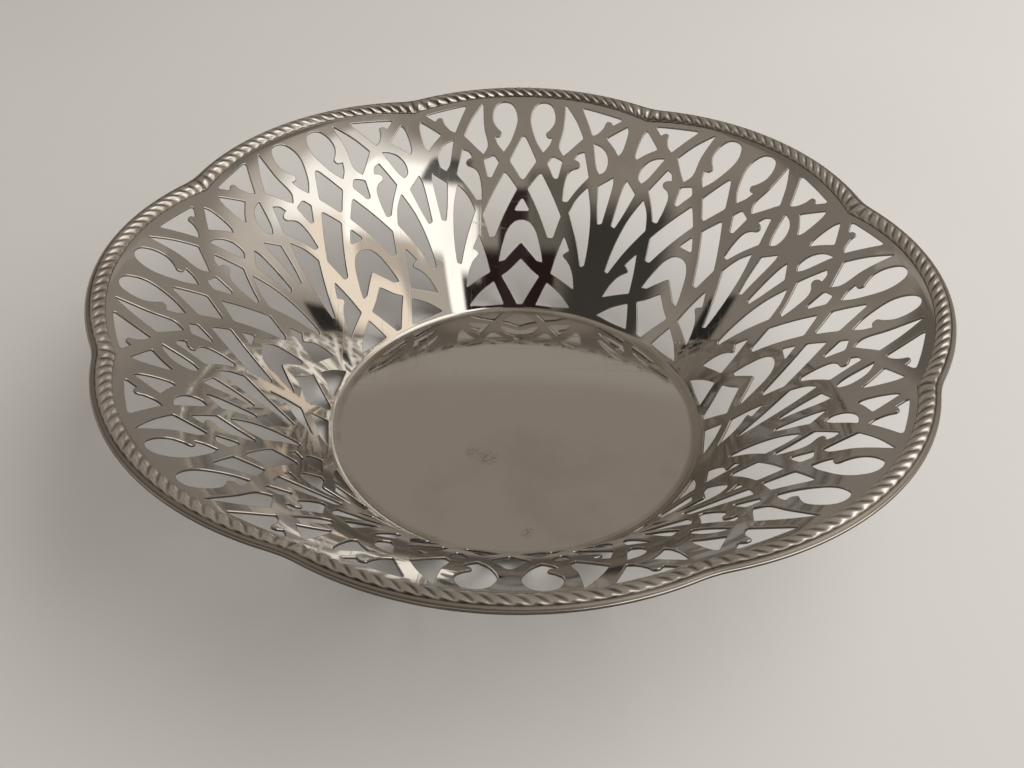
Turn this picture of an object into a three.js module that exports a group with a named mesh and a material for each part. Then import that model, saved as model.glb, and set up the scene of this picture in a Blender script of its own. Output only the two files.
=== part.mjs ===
// Pierced dish: one pressed metal sheet with a flat floor, a flared lattice wall and an eight-lobed
// flange, and a rope border soldered on the flange in eight lengths. Millimetres, +Z up, origin under the
// middle of the floor.
import * as THREE from 'three';
import { mergeVertices } from 'three/addons/utils/BufferGeometryUtils.js';

// Lobes of the rim, one to each panel of the wall, and how far the rim is turned against the panels
const lobeCount = 8;
const rimTurn = THREE.MathUtils.degToRad(-1.3);

// Sheet and its profile: flat floor, bend, plain straight foot, flared wall, easy bend, flange
const overallDiameter = 241;
const sheetThickness = 0.8;
const floorRadius = 56.8;
const bendRadius = 3;
const plainFootWidth = 2.8;
const wallHeight = 56.1;
const wallFootSlope = THREE.MathUtils.degToRad(55.2);
const wallTopSlope = THREE.MathUtils.degToRad(30.3);
const flangeSlope = THREE.MathUtils.degToRad(14);
const flangeWidth = 6.9;
const flangeBendReach = 1.65;

// Pull of the flare's two handles, as shares of the straight line from its foot to its top
const wallFootPullShare = 0.468;
const wallTopPullShare = 0.281;

// Outline of the rim seen from above: arcs struck from centres around the axis, with a soft valley at each
// notch
const lobeCentreRadius = 38;
const valleyRadius = 30;

// Border: a strip with a low fluted rope along its inner side, and the lip of sheet left bare outside it
const ropeWidth = 3.9;
const ropeHeight = 1.1;
const stripLedge = 0.7;
const lipWidth = 0.4;
const stripThickness = 0.35;
const solderGap = 0.3;
const mitreGap = 0.3;
const fluteDepth = 0.3;
const fluteLean = 4.8;
const flutesPerLobe = 25;

// Flutes at each end of a length over which their lean comes in
const leanFlutes = 3;

// Piercing, and the length along the profile from the flat floor to the line that the pattern is measured
// from
const patternStart = 3.86;
const cornerRadius = 0.9;
const holeMargin = 0.5;

// Most that a corner's rounding takes of the edge beside it
const cornerLimitShare = 0.4;

// Steps of the curved surfaces
const floorSteps = 10;
const bendSteps = 2;
const lobeSteps = 10;
const panelSideSteps = 8;
const ropeSteps = 4;
const searchSteps = 40;
const flipPasses = 40;

// Place of the flange's middle ring between the lattice and the rim
const flangeRingShare = 0.45;

// Least step between two stations round the rim, as a share of a panel
const leastStationShare = 0.004;

// How far the sides of a panel are drawn in while it is cut into triangles
const drawInShare = 0.05;

// Points closer than this are one
const mergeDistance = 1e-4;

// Holes of one panel. Each point is [share of the half panel's angle from the middle line, share of the
// pattern's length from its start], with a third value of 1 where the corner is rounded. These cross the
// middle line, and only their right side is given, from the top down.
const middleHoleShares = {
  diamond: [[0, 0.82], [0.131, 0.681, 1], [0, 0.582]],
  smallTriangle: [[0, 0.504], [0.087, 0.44]],
  arch: [
    [0, 0.396], [0.089, 0.386], [0.167, 0.348], [0.231, 0.282], [0.271, 0.231], [0.289, 0.201],
    [0.218, 0.206], [0, 0.291],
  ],
  footDiamond: [[0, 0.212], [0.156, 0.158], [0.264, 0.132, 1], [0.04, -0.002]],
};

// These holes lie right of the middle line and are repeated, mirrored, on its left.
const sideHoleShares = {
  teardrop: [
    [0.16, 0.992], [0.109, 0.98], [0.071, 0.94], [0.061, 0.893], [0.082, 0.839], [0.131, 0.773],
    [0.191, 0.728], [0.24, 0.764], [0.264, 0.802], [0.22, 0.805], [0.202, 0.825], [0.236, 0.848],
    [0.269, 0.885], [0.264, 0.936], [0.22, 0.982],
  ],
  blade: [
    [0.349, 0.988], [0.36, 0.854], [0.343, 0.759], [0.389, 0.719], [0.449, 0.752], [0.549, 0.817, 1],
    [0.462, 0.901],
  ],
  rimTriangle: [
    [0.487, 0.98], [0.629, 0.838, 1], [0.671, 0.854], [0.707, 0.889], [0.72, 0.92], [0.753, 0.923],
    [0.784, 0.907], [0.858, 0.945, 1],
  ],
  trunkTriangle: [
    [0.911, 0.912], [0.76, 0.833, 1], [0.86, 0.787], [0.909, 0.759], [0.931, 0.777], [0.931, 0.885],
  ],
  kite: [[0.287, 0.711], [0.244, 0.674], [0.327, 0.602], [0.364, 0.605], [0.389, 0.69, 1]],
  leaf: [
    [0.584, 0.748], [0.531, 0.734], [0.504, 0.706], [0.551, 0.697], [0.571, 0.682], [0.558, 0.666],
    [0.502, 0.652], [0.462, 0.628], [0.444, 0.564], [0.451, 0.497], [0.502, 0.497], [0.573, 0.555],
    [0.678, 0.628, 1], [0.624, 0.696],
  ],
  halfLens: [
    [0.656, 0.798], [0.738, 0.679], [0.78, 0.652, 1], [0.824, 0.671], [0.831, 0.715], [0.789, 0.761],
    [0.729, 0.786],
  ],
  lozenge: [
    [0.184, 0.628], [0.058, 0.545, 1], [0.2, 0.431], [0.333, 0.318], [0.391, 0.319], [0.451, 0.425, 1],
    [0.324, 0.522],
  ],
  longSliver: [
    [0.693, 0.58], [0.604, 0.522], [0.54, 0.448, 1], [0.689, 0.32], [0.809, 0.204], [0.853, 0.214],
    [0.847, 0.282], [0.818, 0.382], [0.773, 0.475],
  ],
  spike: [
    [0.927, 0.647], [0.88, 0.626], [0.8, 0.593, 1], [0.853, 0.481], [0.898, 0.416], [0.942, 0.424],
    [0.944, 0.615],
  ],
  hookedHole: [
    [0.529, 0.334], [0.469, 0.243], [0.422, 0.153, 1], [0.78, 0.094, 1], [0.729, 0.154], [0.667, 0.197],
    [0.618, 0.218], [0.549, 0.244], [0.62, 0.27],
  ],
  footTriangle: [[0.38, 0.107, 1], [0.249, -0.003], [0.511, -0.004], [0.778, 0.006, 1], [0.587, 0.062]],
};

const bodyFinish = { color: 0xb9b2a6, roughness: 0.18, metalness: 1 };
const borderFinish = { color: 0xaaa295, roughness: 0.3, metalness: 1 };

const overallRadius = overallDiameter / 2;
const panelAngle = (2 * Math.PI) / lobeCount;
const halfPanelAngle = panelAngle / 2;
const ropeHalfWidth = ropeWidth / 2;
const borderWidth = ropeWidth + stripLedge;
const lobeArcRadius = overallRadius - sheetThickness * Math.sin(flangeSlope) - lobeCentreRadius;
const borderInnerArcRadius = lobeArcRadius - lipWidth - borderWidth;

// Vector of a given length at a slope
function along(slope, length) {
  return new THREE.Vector2(length * Math.cos(slope), length * Math.sin(slope));
}

// Profile of the sheet's upper face, radius against height above the floor
function sheetProfile() {
  const path = new THREE.Path();
  path.moveTo(floorRadius, 0);
  path.absarc(floorRadius, bendRadius, bendRadius, -Math.PI / 2, wallFootSlope - Math.PI / 2, false);
  const foot = along(wallFootSlope, plainFootWidth).add(path.currentPoint);
  path.lineTo(foot.x, foot.y);
  const top = new THREE.Vector2(overallRadius - flangeWidth, wallHeight);
  const reach = foot.distanceTo(top);
  const footHandle = along(wallFootSlope, wallFootPullShare * reach).add(foot);
  const topHandle = along(wallTopSlope, -wallTopPullShare * reach).add(top);
  path.bezierCurveTo(footHandle.x, footHandle.y, topHandle.x, topHandle.y, top.x, top.y);
  const corner = along(wallTopSlope, flangeBendReach).add(top);
  const flangeStart = along(flangeSlope, flangeBendReach).add(corner);
  path.quadraticCurveTo(corner.x, corner.y, flangeStart.x, flangeStart.y);
  const flangeEnd = along(flangeSlope, flangeWidth).add(flangeStart);
  path.lineTo(flangeEnd.x, flangeEnd.y);
  return path;
}

const profile = sheetProfile();
const [bendLength, , wallLength] = profile.getCurveLengths();
const patternLength = wallLength - patternStart;

// Length along the profile at which it reaches a radius
function lengthAtRadius(radius) {
  let low = 0;
  let high = profile.getLength();
  for (let step = 0; step < searchSteps; step += 1) {
    const middle = (low + high) / 2;
    if (profile.getPoint(middle / profile.getLength()).x < radius) low = middle;
    else high = middle;
  }
  return low;
}

// Point on the sheet: angle round the axis, length along the profile, depth below the sheet's upper face
function sheetPoint(angle, length, depth) {
  const share = length / profile.getLength();
  const point = profile.getPoint(share);
  const tangent = profile.getTangent(share);
  const radius = point.x + tangent.y * depth;
  const height = sheetThickness + point.y - tangent.x * depth;
  return new THREE.Vector3(radius * Math.cos(angle), radius * Math.sin(angle), height);
}

// Radius of an arc struck from a lobe's centre, at an angle from the lobe's middle
function lobeRadius(fromMiddle, arcRadius) {
  const across = lobeCentreRadius * Math.sin(fromMiddle);
  return lobeCentreRadius * Math.cos(fromMiddle) + Math.sqrt(arcRadius ** 2 - across ** 2);
}

// Distance from the axis of the centre of a valley's arc, which touches two neighbouring lobes from outside
function valleyCentreDistance(arcRadius, valley) {
  const across = lobeCentreRadius * Math.sin(halfPanelAngle);
  return lobeCentreRadius * Math.cos(halfPanelAngle) + Math.sqrt((arcRadius + valley) ** 2 - across ** 2);
}

// Angle from the notch at which the valley's arc touches the lobe's arc
function valleyTouchAngle(arcRadius, valley) {
  const lobeCentre = along(halfPanelAngle, lobeCentreRadius);
  const valleyCentre = new THREE.Vector2(valleyCentreDistance(arcRadius, valley), 0);
  return lobeCentre.lerp(valleyCentre, arcRadius / (arcRadius + valley)).angle();
}

// Radius of a line that follows the rim inside it at a distance: lobe arcs with a soft valley between them
function rimRadius(fromMiddle, inset) {
  const arcRadius = lobeArcRadius - inset;
  const valley = valleyRadius + inset;
  const fromNotch = halfPanelAngle - Math.abs(fromMiddle);
  if (fromNotch > valleyTouchAngle(arcRadius, valley)) return lobeRadius(fromMiddle, arcRadius);
  const centreDistance = valleyCentreDistance(arcRadius, valley);
  const across = centreDistance * Math.sin(fromNotch);
  return centreDistance * Math.cos(fromNotch) - Math.sqrt(valley ** 2 - across ** 2);
}

// An angle brought within half a panel of zero
function withinPanel(angle) {
  return angle - panelAngle * Math.round(angle / panelAngle);
}

// Length along the profile of the rim, or of a line inside it, at an angle from a panel's middle
function rimLength(angle, inset) {
  return lengthAtRadius(rimRadius(withinPanel(angle - rimTurn), inset));
}

// Length along the profile of the line where the lattice ends and the plain band under the border begins
function latticeTop(angle) {
  return rimLength(angle, lipWidth + borderWidth);
}

// Angles from a panel's middle at which the rim has its points: both side lines, the notch, the ends of
// its valley and even steps along the lobe
function rimStations() {
  const arcStart = valleyTouchAngle(lobeArcRadius, valleyRadius) - halfPanelAngle;
  const stations = [-halfPanelAngle];
  for (let step = 0; step <= lobeSteps; step += 1) {
    stations.push(THREE.MathUtils.lerp(arcStart, -arcStart, step / lobeSteps));
  }
  const sideLimit = halfPanelAngle - leastStationShare * panelAngle;
  const turned = stations.map((angle) => withinPanel(angle + rimTurn));
  const inside = turned.filter((angle) => Math.abs(angle) < sideLimit).sort((a, b) => a - b);
  return [-halfPanelAngle, ...inside, halfPanelAngle];
}

// Even steps from one value to another, without the last
function evenSteps(from, to, count) {
  return Array.from({ length: count }, (_, step) => THREE.MathUtils.lerp(from, to, step / count));
}

// Flat outline of a panel's lattice, as points of angle and length: foot line, right side, top, left side
function panelOutline(stations) {
  const sideTop = latticeTop(halfPanelAngle);
  const sideLengths = [...evenSteps(bendLength, sideTop, panelSideSteps), sideTop];
  const footAngles = evenSteps(-halfPanelAngle, halfPanelAngle, floorSteps).slice(1);
  const right = sideLengths.map((length) => new THREE.Vector2(halfPanelAngle, length));
  const left = sideLengths.map((length) => new THREE.Vector2(-halfPanelAngle, length)).reverse();
  const top = stations.slice(1, -1).map((angle) => new THREE.Vector2(angle, latticeTop(angle))).reverse();
  return [...footAngles.map((angle) => new THREE.Vector2(angle, bendLength)), ...right, ...top, ...left];
}

// Point of a hole from its shares, kept clear of the bend and of the plain band
function holePoint([angleShare, lengthShare, rounded], side) {
  const angle = side * angleShare * halfPanelAngle;
  const lowest = bendLength + holeMargin;
  const highest = latticeTop(angle) - holeMargin;
  const length = THREE.MathUtils.clamp(patternStart + lengthShare * patternLength, lowest, highest);
  return { place: new THREE.Vector2(angle, length), rounded };
}

// Place on the edge from a corner to its neighbour where the corner's rounding ends
function cutBack(corner, neighbour) {
  const offset = neighbour.clone().sub(corner);
  const radius = profile.getPoint(corner.y / profile.getLength()).x;
  const distance = Math.hypot(offset.x * radius, offset.y);
  return corner.clone().addScaledVector(offset, Math.min(cornerRadius / distance, cornerLimitShare));
}

// Closed outline of a hole, with each marked corner cut back to the two ends of its rounding
function holeOutline(points) {
  return points.flatMap(({ place, rounded }, index) => {
    if (!rounded) return [place];
    const before = points[(index + points.length - 1) % points.length].place;
    const after = points[(index + 1) % points.length].place;
    return [cutBack(place, before), cutBack(place, after)];
  });
}

// Outlines of all the holes of a panel
function panelHoles() {
  const middle = Object.values(middleHoleShares).map((shares) => {
    const right = shares.map((share) => holePoint(share, 1));
    const left = shares.filter(([angleShare]) => angleShare > 0).map((share) => holePoint(share, -1));
    return holeOutline([...right, ...left.reverse()]);
  });
  const sides = Object.values(sideHoleShares).flatMap((shares) => [1, -1].map(
    (side) => holeOutline(shares.map((share) => holePoint(share, side)))));
  return [...middle, ...sides];
}

// Place of a flat point in the plan that is cut into triangles: the panel as a fan, with its straight
// sides drawn in a little so that no three points of a side make a triangle
function planPoint({ x, y }) {
  const share = y / wallLength;
  return along(x * (1 - drawInShare * share * (1 - share)), floorRadius + y);
}

// Twice the area of a flat triangle, positive where its corners run anticlockwise
function turnOf(plan, [a, b, c]) {
  const first = plan[b].clone().sub(plan[a]);
  return first.cross(plan[c].clone().sub(plan[a]));
}

// Angle at one corner of a triangle in space
function angleAt(places, corner, from, to) {
  return places[from].clone().sub(places[corner]).angleTo(places[to].clone().sub(places[corner]));
}

// The triangles on the two sides of each inner edge, with the corner of each that is across from the edge
function innerEdges(triangles) {
  const across = new Map();
  triangles.forEach((corners, index) => corners.forEach((start, i) => {
    const end = corners[(i + 1) % corners.length];
    across.set(`${start} ${end}`, { index, start, end, opposite: corners[(i + 2) % corners.length] });
  }));
  const pairs = [...across.values()].map((edge) => [edge, across.get(`${edge.end} ${edge.start}`)]);
  return pairs.filter(([edge, twin]) => twin && edge.start < edge.end);
}

// Turns, in one pass, each inner edge whose two triangles become less slender by it. Says whether any was
// turned.
function turnSlenderEdges(plan, places, triangles) {
  const changed = new Set();
  innerEdges(triangles).forEach(([edge, twin]) => {
    if (changed.has(edge.index) || changed.has(twin.index)) return;
    const facing = angleAt(places, edge.opposite, edge.start, edge.end)
      + angleAt(places, twin.opposite, edge.start, edge.end);
    const first = [edge.start, twin.opposite, edge.opposite];
    const second = [edge.end, edge.opposite, twin.opposite];
    const worthwhile = facing > Math.PI && turnOf(plan, first) > 0 && turnOf(plan, second) > 0;
    if (!worthwhile) return;
    triangles[edge.index] = first;
    triangles[twin.index] = second;
    changed.add(edge.index).add(twin.index);
  });
  return changed.size > 0;
}

// Triangles of a panel's lattice between its outline and its holes, each as three points of angle and
// length
function latticeTriangles(stations) {
  const outline = panelOutline(stations);
  const inner = panelHoles();
  const triangles = THREE.ShapeUtils.triangulateShape(
    outline.map(planPoint), inner.map((points) => points.map(planPoint)));
  const points = [outline, ...inner].flat();
  const plan = points.map(planPoint);
  const places = points.map(({ x, y }) => sheetPoint(x, y, 0));
  const upright = triangles.map(([a, b, c]) => (turnOf(plan, [a, b, c]) > 0 ? [a, b, c] : [a, c, b]));
  let pass = 0;
  while (pass < flipPasses && turnSlenderEdges(plan, places, upright)) pass += 1;
  return upright.map((corners) => corners.map((corner) => points[corner]));
}

// Triangles between neighbouring lines that have the same number of flat points
function ringTriangles(lines) {
  return lines.slice(1).flatMap((upper, ring) => upper.slice(1).flatMap((upperNext, i) => {
    const lower = lines[ring];
    return [[lower[i], upper[i], upperNext], [lower[i], upperNext, lower[i + 1]]];
  }));
}

// Angles of the floor's edge within one panel
function floorAngles() {
  return [...evenSteps(-halfPanelAngle, halfPanelAngle, floorSteps), halfPanelAngle];
}

// Triangles of a panel's bend, in rings from the floor's edge to the foot of the wall
function bendTriangles() {
  const lengths = [...evenSteps(0, bendLength, bendSteps), bendLength];
  const angles = floorAngles();
  return ringTriangles(lengths.map((length) => angles.map((angle) => new THREE.Vector2(angle, length))));
}

// Triangles of a panel's plain band, in two rings from the lattice to the rim
function bandTriangles(stations) {
  const bandPoint = (angle, share) => {
    const length = THREE.MathUtils.lerp(latticeTop(angle), rimLength(angle, 0), share);
    return new THREE.Vector2(angle, length);
  };
  const ringShares = [0, flangeRingShare, 1];
  return ringTriangles(ringShares.map((share) => stations.map((angle) => bandPoint(angle, share))));
}

// Upper and under place of the sheet at a flat point of a panel
function platePair({ x, y }, panel) {
  const angle = x + panel * panelAngle;
  return [sheetPoint(angle, y, 0), sheetPoint(angle, y, sheetThickness)];
}

// Faces of the floor within one panel's angle, drawn from the middle of the floor
function floorFaces(panel) {
  const middle = [new THREE.Vector3(0, 0, sheetThickness), new THREE.Vector3()];
  const ring = floorAngles().map((angle) => platePair(new THREE.Vector2(angle, 0), panel));
  return ring.slice(1).map((pair, i) => [middle, ring[i], pair]);
}

// Closed sheet from faces whose corners are pairs of an upper and an under place: both faces, and a wall
// along every edge that belongs to one face only
function thickened(faces) {
  const corners = faces.flat();
  const open = new THREE.BufferGeometry();
  ['position', 'under'].forEach((name, face) => {
    const places = corners.flatMap((pair) => [...pair[face]]);
    open.setAttribute(name, new THREE.Float32BufferAttribute(places, 3));
  });
  const merged = mergeVertices(open, mergeDistance);
  const upperCount = merged.attributes.position.count;
  const triangles = faces.map((_, i) => [0, 1, 2].map((k) => merged.index.getX(3 * i + k)));
  const edges = new Map(triangles.flatMap(
    ([a, b, c]) => [[a, b], [b, c], [c, a]].map((edge) => [edge.join(' '), edge])));
  const rims = [...edges.values()].filter(([start, end]) => !edges.has(`${end} ${start}`));
  const under = (index) => index + upperCount;
  const walls = rims.flatMap(
    ([start, end]) => [[end, start, under(start)], [end, under(start), under(end)]]);
  const underside = triangles.map(([a, b, c]) => [under(a), under(c), under(b)]);
  const places = [...merged.attributes.position.array, ...merged.attributes.under.array];
  return closedGeometry(places, [...triangles, ...underside, ...walls]);
}

// Indexed geometry from a flat list of places and a list of triangles
function closedGeometry(places, triangles) {
  const geometry = new THREE.BufferGeometry();
  geometry.setAttribute('position', new THREE.Float32BufferAttribute(places, 3));
  geometry.setIndex(triangles.flat());
  geometry.computeVertexNormals();
  return geometry;
}

// The pierced sheet
function bodyGeometry() {
  const stations = rimStations();
  const panel = [...bendTriangles(), ...latticeTriangles(stations), ...bandTriangles(stations)];
  const faces = Array.from({ length: lobeCount }, (_, index) => [
    ...floorFaces(index),
    ...panel.map((corners) => corners.map((point) => platePair(point, index))),
  ]);
  return thickened(faces.flat());
}

// Section of the border, as points across it from its inner side and up from its underside: the rope's
// half oval, cut back between its feet by a flute, and the strip's ledge
function borderSection(flute) {
  const rope = Array.from({ length: ropeSteps + 1 }, (_, step) => {
    const turn = Math.PI * (1 - step / ropeSteps);
    const cut = step % ropeSteps === 0 ? 0 : flute;
    const across = ropeHalfWidth + (ropeHalfWidth - cut) * Math.cos(turn);
    return [across, stripThickness + (ropeHeight - cut) * Math.sin(turn)];
  });
  return [[0, 0], ...rope, [borderWidth, stripThickness], [borderWidth, 0]];
}

// Place on the border at an angle from the lobe's middle: the section stands on the line from the rope's
// inner side to the strip's outer edge, just clear of the sheet
function borderPlace(fromMiddle, across, height) {
  const innerLength = lengthAtRadius(lobeRadius(fromMiddle, borderInnerArcRadius));
  const outerLength = lengthAtRadius(rimRadius(fromMiddle, lipWidth));
  const inner = sheetPoint(0, innerLength, -solderGap);
  const run = sheetPoint(0, outerLength, -solderGap).sub(inner);
  const up = new THREE.Vector3(-run.z, 0, run.x).normalize();
  return inner.addScaledVector(run, across / borderWidth).addScaledVector(up, height);
}

// One length of border, fluted and leaning, with mitred ends
function borderGeometry(lobe) {
  const axis = new THREE.Vector3(0, 0, 1);
  const lobeAngle = lobe * panelAngle + rimTurn;
  const cuspRadius = lobeRadius(halfPanelAngle, borderInnerArcRadius);
  const endAngle = halfPanelAngle - Math.asin(mitreGap / 2 / cuspRadius);
  const lean = fluteLean / lobeRadius(0, borderInnerArcRadius);
  const leanReachShare = leanFlutes / flutesPerLobe;
  const sections = [borderSection(fluteDepth), borderSection(0)];
  const lastStation = 2 * flutesPerLobe;
  const places = Array.from({ length: lastStation + 1 }, (_, station) => {
    const share = station / lastStation;
    const leanHere = lean * Math.min(1, share / leanReachShare, (1 - share) / leanReachShare);
    return sections[station % 2].flatMap(([across, height]) => {
      const leanTurn = leanHere * (across / borderWidth - 1 / 2);
      const angle = THREE.MathUtils.lerp(-endAngle, endAngle, share) + leanTurn;
      return [...borderPlace(angle, across, height).applyAxisAngle(axis, angle + lobeAngle)];
    });
  });
  return closedGeometry(places.flat(), barTriangles(lastStation + 1, sections[0].length));
}

// Triangles of a closed bar with the same number of points in every section, capped at both ends
function barTriangles(sectionCount, sectionPoints) {
  const at = (station, point) => station * sectionPoints + (point % sectionPoints);
  const triangles = [];
  for (let station = 1; station < sectionCount; station += 1) {
    for (let point = 0; point < sectionPoints; point += 1) {
      const corner = at(station - 1, point);
      const opposite = at(station, point + 1);
      triangles.push([corner, opposite, at(station, point)]);
      triangles.push([corner, at(station - 1, point + 1), opposite]);
    }
  }
  const last = sectionCount - 1;
  for (let point = 2; point < sectionPoints; point += 1) {
    triangles.push([at(0, 0), at(0, point), at(0, point - 1)]);
    triangles.push([at(last, 0), at(last, point - 1), at(last, point)]);
  }
  return triangles;
}

// Named mesh with its own material
function piece(name, geometry, finish) {
  const mesh = new THREE.Mesh(geometry, new THREE.MeshStandardMaterial(finish));
  mesh.name = name;
  return mesh;
}

const dish = new THREE.Group();
dish.add(piece('dish_body', bodyGeometry(), bodyFinish));
for (let lobe = 0; lobe < lobeCount; lobe += 1) {
  dish.add(piece(`rope_border_${lobe + 1}`, borderGeometry(lobe), borderFinish));
}

export default dish;
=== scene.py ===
"""Pierced silver dish with a rope border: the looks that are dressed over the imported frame.

Shapes are worked out in millimetres and put into the meshes in metres. A place on the sheet is
given by its angle round the axis, its length along the sheet's profile from the edge of the flat
floor, and its depth below the upper face.
"""

import logging
import math
from dataclasses import dataclass, field
from enum import Enum
from typing import Sequence

import bpy
import numpy as np
from mathutils import Matrix, Vector


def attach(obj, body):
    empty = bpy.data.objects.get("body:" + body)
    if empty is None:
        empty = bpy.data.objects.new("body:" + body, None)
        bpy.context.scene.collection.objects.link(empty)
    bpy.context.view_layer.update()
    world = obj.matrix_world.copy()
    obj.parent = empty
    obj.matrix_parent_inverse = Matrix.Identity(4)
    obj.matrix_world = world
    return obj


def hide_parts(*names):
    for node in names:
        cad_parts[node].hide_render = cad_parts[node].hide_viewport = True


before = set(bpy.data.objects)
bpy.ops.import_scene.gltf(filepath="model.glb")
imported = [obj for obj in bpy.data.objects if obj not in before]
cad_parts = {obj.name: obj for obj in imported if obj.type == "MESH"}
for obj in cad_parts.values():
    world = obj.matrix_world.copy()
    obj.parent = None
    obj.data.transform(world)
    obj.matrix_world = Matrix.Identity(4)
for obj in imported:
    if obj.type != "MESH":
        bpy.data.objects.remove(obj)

LOG = logging.getLogger("pierced_dish")
MM = 0.001
BODY = "root"

Colour = tuple[float, float, float]
Place = tuple[float, float, float]
ShareRow = tuple[float, ...]
OutlinePoint = tuple[np.ndarray, float]
Socket = bpy.types.NodeSocket


class Slot(Enum):
    """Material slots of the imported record."""

    SHEET = "sheet"
    BORDER = "border"


class Bench:
    """Operator calls that several pieces share."""

    @staticmethod
    def only(piece: bpy.types.Object) -> None:
        """Selects one object, makes it active and leaves everything else alone."""
        bpy.ops.object.select_all(action="DESELECT")
        piece.select_set(True)
        bpy.context.view_layer.objects.active = piece

    @staticmethod
    def edit(select: str = "SELECT") -> None:
        """Enters edit mode with everything selected or deselected."""
        bpy.ops.object.mode_set(mode="EDIT")
        bpy.ops.mesh.select_all(action=select)

    @staticmethod
    def leave() -> None:
        """Goes back to object mode."""
        bpy.ops.object.mode_set(mode="OBJECT")

    @staticmethod
    def places(piece: bpy.types.Object) -> np.ndarray:
        """Reads the vertex places of a mesh.

        Args:
            piece: Mesh object.

        Returns:
            Array of one row to a vertex.
        """
        places = np.empty(len(piece.data.vertices) * 3)
        piece.data.vertices.foreach_get("co", places)
        return places.reshape(-1, 3)

    @staticmethod
    def set_places(piece: bpy.types.Object, places: np.ndarray) -> None:
        """Writes the vertex places of a mesh.

        Args:
            piece: Mesh object.
            places: One row to a vertex.
        """
        piece.data.vertices.foreach_set("co", places.astype(np.float32).ravel())
        piece.data.update()

    @staticmethod
    def cut(place: Sequence[float], normal: Sequence[float]) -> None:
        """Cuts all the selected faces of the mesh in edit mode along a plane.

        Args:
            place: Point on the plane.
            normal: Normal of the plane.
        """
        bpy.ops.mesh.select_all(action="SELECT")
        bpy.ops.mesh.bisect(plane_co=place, plane_no=normal, threshold=1e-5)

    @classmethod
    def ring(cls, piece: bpy.types.Object, count: int) -> list[bpy.types.Object]:
        """Copies a piece round the axis, each copy with its own mesh.

        Args:
            piece: Object to copy, which becomes the first of the ring.
            count: Number of pieces in the whole ring.

        Returns:
            The pieces of the ring in anticlockwise order.
        """
        pieces = [piece]
        for index in range(1, count):
            cls.only(piece)
            bpy.ops.object.duplicate(linked=False)
            copy = bpy.context.view_layer.objects.active
            copy.data.transform(Matrix.Rotation(2 * math.pi * index / count, 4, "Z"))
            pieces.append(copy)
        return pieces

    @classmethod
    def join(cls, pieces: Sequence[bpy.types.Object], merge_distance: float) -> bpy.types.Object:
        """Joins pieces into the first and merges the points that meet.

        Args:
            pieces: Objects to join.
            merge_distance: Distance under which two points are one, in metres.

        Returns:
            The joined object.
        """
        cls.only(pieces[0])
        for piece in pieces:
            piece.select_set(True)
        bpy.ops.object.join()
        cls.edit()
        bpy.ops.mesh.remove_doubles(threshold=merge_distance)
        cls.leave()
        return pieces[0]


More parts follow.
